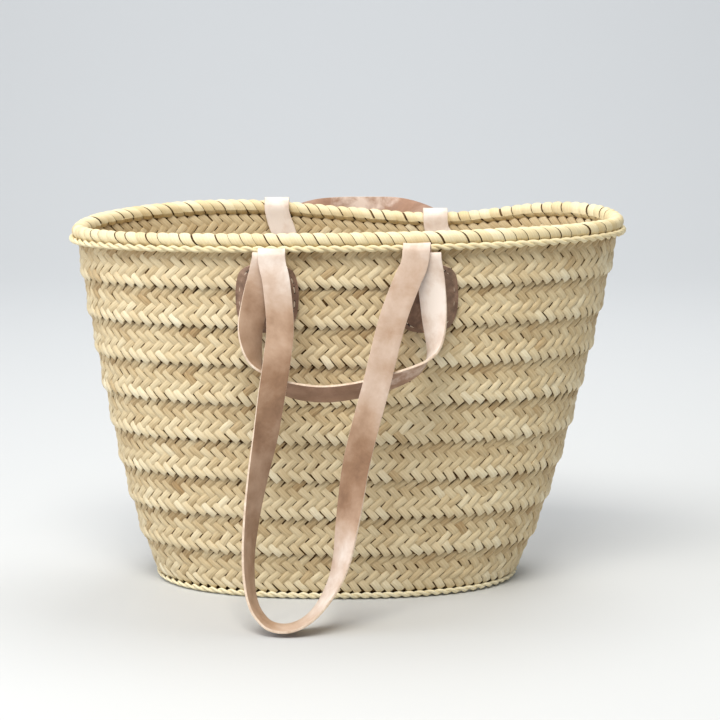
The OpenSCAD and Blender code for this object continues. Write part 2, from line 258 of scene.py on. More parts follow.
def repeated(name, bm, count, pitch, merge=False):
    """The mesh in a row of count copies along X."""
    piece = new_piece(name, bm)
    array = piece.modifiers.new("row", "ARRAY")
    array.use_relative_offset = False
    array.use_constant_offset = True
    array.constant_offset_displace = (pitch, 0, 0)
    array.count = count
    array.use_merge_vertices = merge
    array.merge_threshold = MERGE_REACH
    return take_mesh(piece)


def join(name, meshes, materials):
    """One piece from several meshes. Each mesh keeps its material numbers."""
    bm = bmesh.new()
    for mesh in meshes:
        bm.from_mesh(mesh)
    piece = new_piece(name, bm, *materials)
    for mesh in meshes:
        bpy.data.meshes.remove(mesh)
    return piece


def shade_smooth(piece, angle=40):
    piece.data.polygons.foreach_set("use_smooth", [True] * len(piece.data.polygons))
    piece.data.set_sharp_from_angle(angle=math.radians(angle))


def finish_piece(piece, body, slot_name, *nodes):
    if nodes:
        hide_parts(*nodes)
    if body:
        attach(piece, body)
    return piece


# %% [markdown]
# ## Materials
# Each material starts from what the real one is. Colours are sRGB hex values, turned to the
# linear values that the shader needs by one function. One helper adds a node, sets its inputs
# and joins its links, so that a material reads as a short list of layers.

# %% Helpers for materials
def colour(hex_value):
    channels = [int(hex_value[i:i + 2], 16) / 255 for i in (1, 3, 5)]
    linear = [c / 12.92 if c <= 0.04045 else ((c + 0.055) / 1.055) ** 2.4 for c in channels]
    return (*linear, 1)


def add_node(tree, kind, inputs=None, **settings):
    """A node with its settings; inputs maps a socket to a value or to another node's output."""
    node = tree.nodes.new("ShaderNode" + kind)
    for name, value in settings.items():
        setattr(node, name, value)
    for socket, value in (inputs or {}).items():
        if isinstance(value, bpy.types.NodeSocket):
            tree.links.new(value, node.inputs[socket])
        else:
            node.inputs[socket].default_value = value
    return node


def new_material(name, roughness, specular=0.5, sheen=0.0):
    material = bpy.data.materials.new(name)
    material.use_nodes = True
    shader = material.node_tree.nodes["Principled BSDF"]
    shader.inputs["Roughness"].default_value = roughness
    shader.inputs["Specular IOR Level"].default_value = specular
    shader.inputs["Sheen Weight"].default_value = sheen
    return material, material.node_tree, shader


def colour_ramp(tree, factor, stops):
    ramp = add_node(tree, "ValToRGB", {"Fac": factor})
    elements = ramp.color_ramp.elements
    while len(elements) < len(stops):
        elements.new(0.5)
    for element, (position, hex_value) in zip(elements, stops):
        element.position = position
        element.color = colour(hex_value)
    return ramp.outputs["Color"]


# %% [markdown]
# ### Dried palm leaf
# The leaf is a strip of young dwarf-palm leaf, dried in the sun and plaited damp. It is dry and
# slightly waxy, so its gloss is soft. Fine veins run along the strip, about 0.5 mm apart. Each
# strip dries to its own colour: most are straw, some pale, a few greenish or brown, so the
# colour reads a number that every leaf carries, called tint.

# %% Palm leaf material
LEAF_LENGTH = 15.2
LEAF_WIDTH = 7.2
VEIN_SPACING = 1.5  # real veins are nearer 0.5 mm, and these are drawn wider so that they show


def palm_leaf(name, stops, vein_strength=0.35):
    material, tree, shader = new_material(name, roughness=0.55, specular=0.35)
    tint = add_node(tree, "Attribute", attribute_name="tint")
    uv = add_node(tree, "UVMap", uv_map="leaf")
    # the map is in millimetres: x along the leaf, y across it
    veins_place = add_node(tree, "Mapping", {
        "Vector": uv.outputs["UV"], "Scale": (0.05, 1 / VEIN_SPACING, 1)})
    veins = add_node(tree, "TexNoise", {
        "Vector": veins_place.outputs["Vector"], "Scale": 1.0, "Detail": 3.0, "Roughness": 0.6})
    blotch_place = add_node(tree, "TexCoord")
    blotch = add_node(tree, "TexNoise", {
        "Vector": blotch_place.outputs["Object"], "Scale": 60.0, "Detail": 2.0})
    mixed = add_node(tree, "Math", {
        0: veins.outputs["Fac"], 1: 0.6, 2: tint.outputs["Fac"]}, operation="MULTIPLY_ADD")
    shaded = add_node(tree, "Math", {
        0: blotch.outputs["Fac"], 1: 0.22, 2: mixed.outputs[0]}, operation="MULTIPLY_ADD")
    moved = add_node(tree, "Math", {0: shaded.outputs[0], 1: 0.41}, operation="SUBTRACT")
    tree.links.new(colour_ramp(tree, moved.outputs[0], stops), shader.inputs["Base Color"])
    bump = add_node(tree, "Bump", {
        "Height": veins.outputs["Fac"], "Strength": vein_strength, "Distance": 0.4 * MM})
    tree.links.new(bump.outputs["Normal"], shader.inputs["Normal"])
    return material


leaf_material = palm_leaf("dried_palm_leaf", [
    (0.0, "#7C5F3A"), (0.2, "#AB8E63"), (0.42, "#CAB48B"), (0.62, "#DBC9A3"),
    (0.8, "#E9DDBE"), (1.0, "#F6EFDA")])
cord_material = palm_leaf("twisted_palm_cord", [
    (0.0, "#A08455"), (0.35, "#D3BE90"), (0.7, "#EBDDB6"), (1.0, "#F8F0D6")])


def shadowed_leaf(name):
    """The under-layer of the braid, seen only in the gaps between leaves and painted dark as their
    shadow.
    """
    material, tree, shader = new_material(name, roughness=0.8, specular=0.2)
    where = add_node(tree, "TexCoord")
    noise = add_node(tree, "TexNoise", {
        "Vector": where.outputs["Object"], "Scale": 220.0, "Detail": 3.0})
    tree.links.new(colour_ramp(tree, noise.outputs["Fac"], [
        (0.3, "#3E2A16"), (0.7, "#6B5030")]), shader.inputs["Base Color"])
    return material


painted_gap_shadow = shadowed_leaf("braid_gaps_painted_shadow")

# %% [markdown]
# ### Leather and thread
# The straps are vegetable-tanned hide with no finish. The inner face is the flesh side, matt
# and mottled where hands and rain have marked it. The outer face is the grain side, smoother and
# browner, and the cut edges are pale. The patches are the same hide, coloured darker, partly by
# their own tone and partly by painted shade, as they lie under the folds. The map called leaf
# gives millimetres along and across each strap, so marks follow the leather. The attribute called
# painted_light is a number along each strap that paints light and shade on it: 1 is pale where
# the hide faces up into the light, 0 dark where it turns down into shade.

# %% Leather and thread materials
def leather(name, stops, roughness, spot_size, grain=0.25, specular=0.35, with_painted_light=False):
    material, tree, shader = new_material(name, roughness, specular, sheen=0.05)
    uv = add_node(tree, "UVMap", uv_map="leaf")
    blotches = add_node(tree, "TexNoise", {
        "Vector": uv.outputs["UV"], "Scale": 1 / spot_size, "Detail": 5.0, "Roughness": 0.62,
        "Distortion": 0.2})
    spread = add_node(tree, "MapRange", {
        "Value": blotches.outputs["Fac"], "From Min": 0.3, "From Max": 0.7})
    tone = spread.outputs["Result"]
    if with_painted_light:  # painted light and shade along the strap give most of its tone
        painted_light = add_node(tree, "Attribute", attribute_name="painted_light")
        part = add_node(tree, "Math", {0: tone, 1: 0.42}, operation="MULTIPLY")
        both = add_node(tree, "Math", {
            0: painted_light.outputs["Fac"], 1: 0.72, 2: part.outputs[0]}, operation="MULTIPLY_ADD")
        tone = both.outputs[0]
    tree.links.new(colour_ramp(tree, tone, stops), shader.inputs["Base Color"])
    pores = add_node(tree, "TexNoise", {
        "Vector": uv.outputs["UV"], "Scale": 1.6, "Detail": 4.0, "Roughness": 0.7})
    dents = add_node(tree, "Math", {
        0: blotches.outputs["Fac"], 1: 1.5, 2: pores.outputs["Fac"]}, operation="MULTIPLY_ADD")
    bump = add_node(tree, "Bump", {
        "Height": dents.outputs[0], "Strength": grain, "Distance": 0.3 * MM})
    tree.links.new(bump.outputs["Normal"], shader.inputs["Normal"])
    rough = add_node(tree, "MapRange", {
        "Value": pores.outputs["Fac"], "From Min": 0.3, "From Max": 0.7,
        "To Min": roughness - 0.1, "To Max": roughness + 0.1})
    tree.links.new(rough.outputs["Result"], shader.inputs["Roughness"])
    return material


flesh_side = leather("strap_flesh_side", [
    (0.0, "#6C4A32"), (0.25, "#967357"), (0.5, "#B7977D"), (0.75, "#CDB4A0"), (1.0, "#E8DACE")],
    roughness=0.46, spot_size=36, specular=0.5, with_painted_light=True)
grain_side = leather("strap_grain_side", [
    (0.0, "#6E4E3B"), (0.4, "#8A6851"), (0.7, "#A27E67"), (1.0, "#E3CEBF")],
    roughness=0.5, spot_size=18, with_painted_light=True)
cut_edge = leather("strap_cut_edge", [
    (0.0, "#C9AD93"), (0.6, "#E3CDB6"), (1.0, "#EEDFCC")], roughness=0.7, spot_size=8)
# the patches are darker partly by the hide's own tone and partly by painted shade from the folds
patch_hide_with_painted_shade = leather("patch_hide_with_painted_shade", [
    (0.0, "#60473A"), (0.45, "#80634F"), (0.75, "#957661"), (1.0, "#A98B76")],
    roughness=0.55, spot_size=12, grain=0.45)
patch_edge = leather("patch_cut_edge", [
    (0.0, "#86655A"), (0.6, "#AE8C7C"), (1.0, "#C4A594")], roughness=0.7, spot_size=6)


def plain_thread(name, hex_value, roughness=0.75):
    material, tree, shader = new_material(name, roughness, specular=0.3, sheen=0.2)
    shader.inputs["Base Color"].default_value = colour(hex_value)
    return material


linen = plain_thread("linen_thread", "#C9B79F")
# each needle hole is a small dark blob: painted shade for the hole
needle_hole_painted_shade = plain_thread("needle_hole_painted_shade", "#2E1F1B", 0.9)
palm_twine = plain_thread("palm_twine", "#B7A273")

# %% [markdown]
# ## One leaf
# In a plait each leaf shows as a short blade that comes up from under one neighbour and dives
# under the next. The blade is a grid pulled into a shallow dome, and its open underside is
# closed, so it is a solid with only a few dozen faces that can be repeated thousands of times.

# %% One leaf blade
LEAF_RISE = 1.8
LEAF_FILL = 0.92   # share of its place that a leaf's width fills
LEAF_SKIRT = 0.9   # how far the edge goes down under the neighbours, in millimetres


def leaf_blade(along=5, across=3):
    """A closed leaf in millimetres, lying along X on the XY plane, with its map in the loops."""
    bm = bmesh.new()
    uv = bm.loops.layers.uv.new("leaf")
    bmesh.ops.create_grid(bm, x_segments=along, y_segments=across, size=0.5)
    top = list(bm.faces)
    for face in top:
        for loop in face.loops:
            loop[uv].uv = (loop.vert.co.x * LEAF_LENGTH, loop.vert.co.y * LEAF_WIDTH)
    for vert in bm.verts:
        along_share, across_share = 2 * vert.co.x, 2 * vert.co.y
        dome = 1 - 0.8 * abs(along_share) ** 2.8
        crown = 1 - 0.7 * across_share ** 2
        vert.co = Vector((vert.co.x * LEAF_LENGTH, vert.co.y * LEAF_WIDTH * LEAF_FILL,
                          LEAF_RISE * dome * crown))
    rim = [edge for edge in bm.edges if edge.is_boundary]
    wall = bmesh.ops.extrude_edge_only(bm, edges=rim)["geom"]
    low = [item for item in wall if isinstance(item, bmesh.types.BMVert)]
    bmesh.ops.translate(bm, verts=low, vec=(0, 0, -LEAF_SKIRT))
    bmesh.ops.contextual_create(bm, geom=[e for e in bm.edges if e.is_boundary])
    bmesh.ops.recalc_face_normals(bm, faces=bm.faces)
    return bm


def leaf_rows(rows, row_pitch, across=3):
    """Rows of leaves, one of each, that slope alternately: a repeat of the herringbone."""
    bm = bmesh.new()
    bm.loops.layers.uv.new("leaf")
    for row in range(rows):
        blade = leaf_blade(across=across)
        turned(blade, math.radians(-45 if row % 2 == 0 else 45), "Z")
        bmesh.ops.translate(blade, verts=blade.verts, vec=(
            COLUMN_PITCH / 2 * (row % 2), (row + 0.5) * row_pitch, 0))
        step = bpy.data.meshes.new("blade")
        blade.to_mesh(step)
        blade.free()
        bm.from_mesh(step)
        bpy.data.meshes.remove(step)
    bmesh.ops.scale(bm, verts=bm.verts, vec=(MM, MM, MM))
    return bm


COLUMN_PITCH = 10.5
ROWS = 4
ROW_PAINTED_LIGHT = (0.12, 0.02, -0.03, -0.12)  # painted light and shade: the ridge row lit from above, the row in its shadow darker
print("faces in a leaf:", len(leaf_blade().faces))

# %% [markdown]
# ## A course of braid
# A course is four rows of leaves. Its lower row stands out as a ridge over the course below,
# which is what gives the basket its ribs. Its rows carry painted light and shade: the ridge row
# lighter, the row in its shadow darker. Each leaf is also pushed, tilted and coloured a
# little by itself, because a hand plait is never even. The random draws are seeded, so the
# basket is the same each time. Behind the leaves lies a thin layer painted dark as the shadow
# in the gaps.

# %% Course of braid
rng = np.random.default_rng(41)
LIP_HEIGHTS = np.array([-5, -1, 3, 9, 18, 28, 36, 42]) * MM
LIP_OUT = np.array([0.8, 2.3, 2.6, 1.8, 0.4, -0.1, -0.7, -1.6]) * MM
LEAF_SINK = 0.5 * MM    # how far a leaf's foot lies under the wall's face
INSIDE_LIP = 0.25       # share of the ridge that shows on the inside
LAYER_PITCH_ROUND = 5 * MM
LAYER_DEPTH = 1.1 * MM
LAYER_THICKNESS = 2.6 * MM


def unsettle(flat, leaves, strength=1.0):
    """Moves and tilts every leaf a little by itself. flat holds x, y and height of each point."""
    block = flat.reshape(leaves, -1, 3)
    middle = block.mean(axis=1, keepdims=True)
    across = block - middle
    tilt = rng.normal(0, 0.045 * strength, (leaves, 1, 2))
    block[..., 2] += (across[..., :2] * tilt).sum(axis=-1)
    block[..., 2] += rng.normal(0, 0.16 * MM * strength, (leaves, 1))
    block[..., :2] += rng.normal(0, 0.28 * MM * strength, (leaves, 1, 2))
    turn = rng.normal(0, 0.06 * strength, (leaves, 1))
    block[..., 0] -= across[..., 1] * turn
    block[..., 1] += across[..., 0] * turn
    return block.reshape(-1, 3)


def face_tints(mesh, values):
    tint = mesh.attributes.new("tint", "FLOAT", "FACE")
    tint.data.foreach_set("value", values.astype(np.float32))


def tint_leaves(mesh, leaves, middle=0.5, spread=0.065, rows=(0.0,)):
    """Gives every leaf its own tint, the same on all of its faces. rows adds painted light and
    shade to whole rows.
    """
    values = middle + np.resize(rows, leaves) + rng.normal(0, spread, leaves)
    odd = rng.random(leaves)
    values = np.clip(np.where(odd < 0.012, values * 0.6, values), 0.02, 0.98)
    face_tints(mesh, np.repeat(values, len(mesh.polygons) // leaves))


def braid_face(name, z_low, height, outside):
    """One face of a course: rows of leaves bent round the oval, outside or inside."""
    length, angle_at = way_round(z_low + height / 2, 0 if outside else -WALL)
    columns = round(length / (COLUMN_PITCH * MM))
    row_pitch = height / MM / ROWS
    rows = leaf_rows(ROWS, row_pitch, across=4 if outside else 2)
    mesh = repeated(name, rows, columns, COLUMN_PITCH * MM)
    leaves = columns * ROWS
    flat = unsettle(points(mesh), leaves, 1.0 if outside else 0.7)
    angles = angle_at(flat[:, 0] / (columns * COLUMN_PITCH * MM))
    profile = np.interp(flat[:, 1] * COURSE_PITCH / height, LIP_HEIGHTS, LIP_OUT)
    if outside:
        out = profile + flat[:, 2] - LEAF_SINK
    else:
        out = -WALL + LEAF_SINK - flat[:, 2] + profile * INSIDE_LIP
    place(mesh, wall_point(angles, z_low + flat[:, 1], out))
    if not outside:
        mesh.flip_normals()
    tint_leaves(mesh, leaves, 0.5, rows=ROW_PAINTED_LIGHT if outside else (0.0,))
    return mesh


def under_layer(name, z_low, height):
    """The closed layer between the two faces of a course, painted dark as the shadow in the gaps.
    """
    bm = bmesh.new()
    bmesh.ops.create_grid(bm, x_segments=1, y_segments=8, size=0.5)
    pitch = LAYER_PITCH_ROUND
    bmesh.ops.scale(bm, verts=bm.verts, vec=(pitch, height, 1))
    bmesh.ops.translate(bm, verts=bm.verts, vec=(pitch / 2, height / 2, 0))
    length, angle_at = way_round(z_low + height / 2, 0)
    count = round(length / pitch)
    mesh = repeated(name, bm, count, pitch, merge=True)
    flat = points(mesh)
    angles = angle_at(flat[:, 0] / (count * pitch))
    out = np.interp(flat[:, 1] * COURSE_PITCH / height, LIP_HEIGHTS, LIP_OUT) - LAYER_DEPTH
    place(mesh, wall_point(angles, z_low + flat[:, 1], out))
    piece = new_piece(name, mesh)
    edit_mesh(mesh, lambda bm: bmesh.ops.remove_doubles(bm, verts=bm.verts, dist=0.05 * MM))
    thicken(piece, LAYER_THICKNESS, -1)
    return second_material(take_mesh(piece))


for course in range(1, COURSES + 1):
    low = BASE_TOP + (course - 1) * COURSE_PITCH
    name = f"wall_course_{course}"
    parts = [braid_face("outside", low, COURSE_PITCH, True),
             braid_face("inside", low, COURSE_PITCH, False),
             under_layer("under", low, COURSE_PITCH)]
    piece = join(name + "_braid", parts, (leaf_material, painted_gap_shadow))
    shade_smooth(piece, 50)
    finish_piece(piece, "basket", "palm_braid", name)
print("courses made; faces in the last one:", len(piece.data.polygons))

# %% [markdown]
# ## Sheets and rings
# Cords, straps and patches all start as a flat grid whose two shares, u and v, say where each
# point goes. The helper keeps the shares, lays the map in millimetres, and welds the seams
# after the points have moved.

# %% Helpers for sheets and rings
def grid_sheet(columns, rows, length, width):
    """A grid mesh, its points' shares u and v, and a map in millimetres."""
    bm = bmesh.new()
    bmesh.ops.create_grid(bm, x_segments=columns, y_segments=rows, size=0.5)
    uv = bm.loops.layers.uv.new("leaf")
    for face in bm.faces:
        for loop in face.loops:
            x, y, _ = loop.vert.co
            loop[uv].uv = ((x + 0.5) * length / MM, (y + 0.5) * width / MM)
    mesh = bpy.data.meshes.new("sheet")
    bm.to_mesh(mesh)
    bm.free()
    flat = points(mesh)
    return mesh, flat[:, 0] + 0.5, flat[:, 1] + 0.5


def weld(mesh):
    """Joins the seams of a sheet that was closed on itself, and turns its faces outwards."""
    def change(bm):
        bmesh.ops.remove_doubles(bm, verts=bm.verts, dist=0.01 * MM)
        bmesh.ops.recalc_face_normals(bm, faces=bm.faces)
    edit_mesh(mesh, change)


def one_tint(mesh, value):
    face_tints(mesh, np.full(len(mesh.polygons), value, np.float32))


# %% [markdown]
# ## Base
# The flat base is the start of the same braid, coiled in rings. Its leaves are laid on both
# faces of a closed core, and the lowest of them just touch the floor.

# %% Base panel
BASE_ROW = 9.2 * MM
BASE_ROWS = 10
BASE_LIFT = 1.3 * MM  # of the lower leaves' feet, so that their crowns touch the floor


def base_row(row, top):
    out = -(row + 0.5) * BASE_ROW
    length, angle_at = way_round(0, out)
    count = max(6, round(length / (COLUMN_PITCH * MM)))
    blade = leaf_blade(across=2)
    turned(blade, math.radians(-45 if row % 2 == 0 else 45), "Z")
    bmesh.ops.scale(blade, verts=blade.verts, vec=(MM, MM, MM))
    mesh = repeated("base_row", blade, count, COLUMN_PITCH * MM)
    flat = unsettle(points(mesh), count, 0.5)
    height = np.clip(flat[:, 2], -0.8 * MM, 1.25 * MM)
    spots = wall_point(angle_at(flat[:, 0] / (count * COLUMN_PITCH * MM)), 0, out - flat[:, 1])
    spots[:, 2] = BASE_TOP - LEAF_SINK + height * 0.4 if top else BASE_LIFT - height
    place(mesh, spots)
    if not top:
        mesh.flip_normals()
    tint_leaves(mesh, count, 0.5)
    return mesh


core_bm = bmesh.new()
bmesh.ops.create_circle(core_bm, cap_ends=True, segments=128, radius=1)
core = bpy.data.meshes.new("base_core")
core_bm.to_mesh(core)
core_bm.free()
flat = points(core)
spots = wall_point(np.arctan2(flat[:, 1], flat[:, 0]), 0, -0.4 * MM)
spots[:, 2] = BASE_TOP - 0.9 * MM
place(core, spots)
core_piece = new_piece("base_core", core)
thicken(core_piece, BASE_TOP - 2.0 * MM, -1)
# the base's core takes the painted shadow seen in the gaps between its leaves
core = second_material(take_mesh(core_piece))
base_rows = [base_row(r, top) for top in (True, False) for r in range(BASE_ROWS)]
base = join("base_braid", base_rows + [core], (leaf_material, painted_gap_shadow))
shade_smooth(base, 50)
finish_piece(base, "basket", "palm_braid", "base_panel")

# %% [markdown]
# ## Rim
# The mouth is stiffened by a roll bound with wide palm leaf. Each wrap lies beside the last and
# leans, and its edges dip to a slit where a core painted dark as shadow shows. Under it a cord of
# two twisted strands is sewn round.

# %% Rim roll
WRAP_PITCH = 11.5 * MM
WRAP_SHIFT = -2.0          # wraps that one turn leans over
WRAP_GRID = (4, 16)        # faces across a wrap, and round the roll
WRAP_MAP = (38, 11)        # millimetres of leaf round the roll, and across a wrap
WRAP_FILL = 0.93           # share of its pitch that a wrap covers
WRAP_THICKNESS = 0.5 * MM

roll_length, roll_angle = way_round(ROLL_Z, ROLL_OUT + ROLL_RADIUS)
wraps = round(roll_length / WRAP_PITCH)
wrap_bm = bmesh.new()
bmesh.ops.create_grid(wrap_bm, x_segments=WRAP_GRID[0], y_segments=WRAP_GRID[1], size=0.5)
wrap_uv = wrap_bm.loops.layers.uv.new("leaf")
for face in wrap_bm.faces:
    for loop in face.loops:
        loop[wrap_uv].uv = (loop.vert.co.y * WRAP_MAP[0], loop.vert.co.x * WRAP_MAP[1])
wrap_row = repeated("wraps", wrap_bm, wraps, 1.0)
flat = points(wrap_row)
number = np.arange(len(flat)) // (len(flat) // wraps)
across = flat[:, 0] - number
turn = flat[:, 1]
jitter = rng.normal(0, 0.05, wraps)[number % wraps]
swell = rng.normal(0, 0.12, wraps)[number % wraps]
share = (number + 0.5 + across * WRAP_FILL + jitter + WRAP_SHIFT * turn) / wraps
radius = ROLL_RADIUS + (0.4 + swell - 5.5 * np.abs(across) ** 2.2) * MM
phi = turn * 2 * math.pi + math.radians(20)
place(wrap_row, wall_point(roll_angle(share), ROLL_Z + radius * np.sin(phi),
                           ROLL_OUT + radius * np.cos(phi)))
wrap_piece = new_piece("rim_wraps", wrap_row)
thicken(wrap_piece, WRAP_THICKNESS, -1)
wrap_row = take_mesh(wrap_piece)
wrap_tints = np.clip(rng.normal(0.55, 0.08, wraps), 0.2, 0.95)
wrap_of_face = np.arange(len(wrap_row.polygons)) // (WRAP_GRID[0] * WRAP_GRID[1]) % wraps
face_tints(wrap_row, wrap_tints[wrap_of_face])


def ring_tube(z, out, radius, sides, columns):
    """A plain closed tube round the oval."""
    length, angle_at = way_round(z, out)
    mesh, u, v = grid_sheet(columns, sides, length, 2 * math.pi * radius)
    theta = v * 2 * math.pi
    place(mesh, wall_point(angle_at(u), z + radius * np.sin(theta), out + radius * np.cos(theta)))
    weld(mesh)
    return mesh


# the roll's core is painted dark, as the shadow seen in the slits between wraps
roll_core = ring_tube(ROLL_Z, ROLL_OUT, ROLL_RADIUS - 1.5 * MM, 12, 240)
one_tint(roll_core, 0.2)
second_material(roll_core)
rim = join("rim_roll_wraps", [wrap_row, roll_core], (cord_material, painted_gap_shadow))
shade_smooth(rim, 50)
finish_piece(rim, "basket", "palm_binding", "rim_roll")


# %% Twisted cords
def twisted_cord(name, z, out, size, lay, node, slot_name, tint_value):
    """Two strands laid round each other, all the way round the oval."""
    strand = 0.53 * size
    helix = 0.47 * size
    length, angle_at = way_round(z, out)
    lays = round(length / lay)
    strands = []
    for start in (0.0, math.pi):
        mesh, u, v = grid_sheet(lays * 12, 8, length, 2 * math.pi * strand)
        theta = v * 2 * math.pi
        winding = start - u * lays * 2 * math.pi
        up = helix * np.sin(winding) + strand * np.sin(theta)
        side = helix * np.cos(winding) + strand * np.cos(theta)
        place(mesh, wall_point(angle_at(u), z + up, out + side))
        weld(mesh)
        one_tint(mesh, tint_value + rng.normal(0, 0.03))
        strands.append(mesh)
    piece = join(name, strands, (cord_material,))
    shade_smooth(piece, 80)
    return finish_piece(piece, "basket", slot_name, node)


twisted_cord("rim_cord_twist", CORD_Z, CORD_OUT, CORD_RADIUS, 23 * MM, "rim_cord", "palm_cord", 0.6)
twisted_cord("base_cord_twist", BASE_CORD_RADIUS, BASE_CORD_RADIUS + 0.2 * MM, BASE_CORD_RADIUS,
             20 * MM, "base_welt_cord", "palm_cord", 0.75)

# %% Sewing twine on the inside
TWINE_RADIUS = 0.8 * MM
STITCH_PITCH = 14 * MM
twine_rows = []
for course in range(1, COURSES):
    z = BASE_TOP + course * COURSE_PITCH
    out = -WALL - TWINE_RADIUS
    length, angle_at = way_round(z, out)
    count = round(length / STITCH_PITCH)
    stitch_bm = bmesh.new()
    bmesh.ops.create_uvsphere(stitch_bm, u_segments=8, v_segments=6, radius=1)
    turned(stitch_bm, math.pi / 2, "Y")
    bmesh.ops.scale(stitch_bm, verts=stitch_bm.verts, vec=(STITCH_PITCH * 0.42, 1, 1))
    row = repeated("twine", stitch_bm, count, STITCH_PITCH)
    flat = points(row)
    slant = (np.mod(flat[:, 0] / STITCH_PITCH + 0.5, 1) - 0.5) * 3 * MM
    place(row, wall_point(angle_at(flat[:, 0] / (count * STITCH_PITCH)),
                          z + flat[:, 1] * TWINE_RADIUS + slant, out + flat[:, 2] * TWINE_RADIUS))
    row.flip_normals()
    twine_rows.append(row)
twine = join("course_twine_stitches", twine_rows, (palm_twine,))
shade_smooth(twine, 80)
finish_piece(twine, "basket", "palm_twine", "course_twine")

# %% [markdown]
# ## Handles
# Each handle is one strap 25 mm wide and 2.5 mm thick. It comes up from under a patch, folds
# over, loops, and goes down under the other patch. Its path is a smooth curve through stations
# that are given in the design's own measures, and a second curve says which way its width
# points, so that it can twist as real hide does.

# %% Where the straps run
STRAP_WIDTH = 25 * MM
STRAP_THICKNESS = 2.5 * MM
GAP = 0.3 * MM
LAYER_PITCH = STRAP_THICKNESS + 3 * GAP
COURSE_LIP = 2.5 * MM
FRONT_REACH = 73 * MM
LONG_INSET = 5 * MM
BACK_REACH = 81 * MM
BACK_SHIFT = 8 * MM
FOLD_DROP = 6 * MM
FOLD_RADIUS = 1.5 * MM
PATCH_WIDTH = 58 * MM
PATCH_HEIGHT = 67 * MM
PATCH_THICKNESS = 2 * MM
PATCH_Z = WALL_TOP - 45 * MM
RIM_ROOM = 2 * MM
BACK_HANDLE_ANGLE = math.radians(85)
FOLD_Z = WALL_TOP - FOLD_DROP
SHORT_BEND = FOLD_RADIUS + GAP + STRAP_THICKNESS / 2
LONG_BEND = SHORT_BEND + LAYER_PITCH
LONG_EDGE = LONG_BEND + STRAP_THICKNESS / 2
NEAR_X = FRONT_REACH - LONG_INSET - STRAP_WIDTH / 2 - MOUTH_LEAN * FOLD_DROP / WALL_TOP
FOLD_Y = (float(wall_y(MOUTH_LEAN - NEAR_X, WALL_TOP, -1)) + CORD_OUT + CORD_RADIUS + 2 * GAP
          + LONG_EDGE)
TAB_BOTTOM = PATCH_Z - 0.3 * PATCH_HEIGHT
FLARE_START = PATCH_Z + 0.1 * PATCH_HEIGHT
OVER_ROLL = ROLL_RADIUS + RIM_ROOM + STRAP_THICKNESS / 2
OVER_CORD = CORD_RADIUS + RIM_ROOM + STRAP_THICKNESS / 2
print("fold line, mm:", round(FOLD_Y / MM, 3), round(FOLD_Z / MM, 3))


def handle_x(side, end):
    if side < 0:
        return MOUTH_LEAN + end * FRONT_REACH
    return MOUTH_LEAN + BACK_SHIFT + end * BACK_REACH


def strap_x(side, end, layer):
    return handle_x(side, end) - (end * LONG_INSET if side < 0 and layer == 0 else 0)


def wall_face(side, end, z):
    reach = STRAP_WIDTH / 2 + LONG_INSET
    places = [wall_y(handle_x(side, end) + e * reach, z, side) for e in (-1, 0, 1)]
    return COURSE_LIP + GAP + np.max(places, axis=0)


def tab_y(side, end, z, layer):
    lift = FOLD_Y - LONG_EDGE - wall_face(side, end, np.full_like(z, FOLD_Z))
    share = np.maximum(0, (z - FLARE_START) / (FOLD_Z - FLARE_START)) ** 2
    return wall_face(side, end, z) + lift * share + STRAP_THICKNESS / 2 + layer * LAYER_PITCH


def smooth_path(stations, steps):
    """Catmull-Rom curve through the stations, with steps pieces to a span."""
    s = np.asarray(stations, float)
    padded = np.vstack((s[:1], s, s[-1:]))
    spans = []
    for i in range(len(s) - 1):
        p0, p1, p2, p3 = padded[i:i + 4]
        u = (np.arange(steps) / steps)[:, None]
        spans.append(0.5 * (2 * p1 + (p2 - p0) * u + (2 * p0 - 5 * p1 + 4 * p2 - p3) * u ** 2
                            + (3 * p1 - p0 - 3 * p2 + p3) * u ** 3))
    return np.vstack(spans + [s[-1:]])


# each station: side (-1 and 1 at the folds), millimetres out from the fold line, share of the
# fold's height, and the turn and lift of the strap's width in degrees
LONG_LOOP = [
    (-1.00, 6, 1.000, 0, 0), (-0.98, 8, 0.976, 0, 0), (-0.93, 12, 0.932, 0, 0),
    (-0.88, 19, 0.815, 0, 0), (-0.93, 27, 0.717, 5, 0), (-1.00, 32, 0.629, 15, 0),
    (-1.08, 35, 0.522, 28, 0), (-1.18, 38, 0.414, 45, 0), (-1.26, 42, 0.310, 58, 0),
    (-1.31, 48, 0.205, 68, 0), (-1.30, 54, 0.125, 74, 0), (-1.25, 60, 0.075, 79, 0),
    (-1.16, 65, 0.042, 83, 0), (-1.02, 69, 0.018, 87, 0), (-0.82, 71, 0.011, 90, 0),
    (-0.61, 70, 0.022, 94, 0), (-0.42, 67, 0.050, 99, 0), (-0.26, 63, 0.092, 107, 0),
    (-0.13, 57, 0.143, 117, 0), (-0.05, 51, 0.200, 129, 0), (0.00, 46, 0.268, 142, 0),
    (0.06, 42, 0.351, 157, 0), (0.13, 37, 0.444, 169, 0), (0.24, 33, 0.541, 176, 0),
    (0.39, 28, 0.658, 180, 0), (0.61, 18, 0.834, 180, 0), (0.82, 11, 0.935, 180, 0),
    (0.95, 8, 0.976, 180, 0), (1.00, 6, 1.000, 180, 0)]
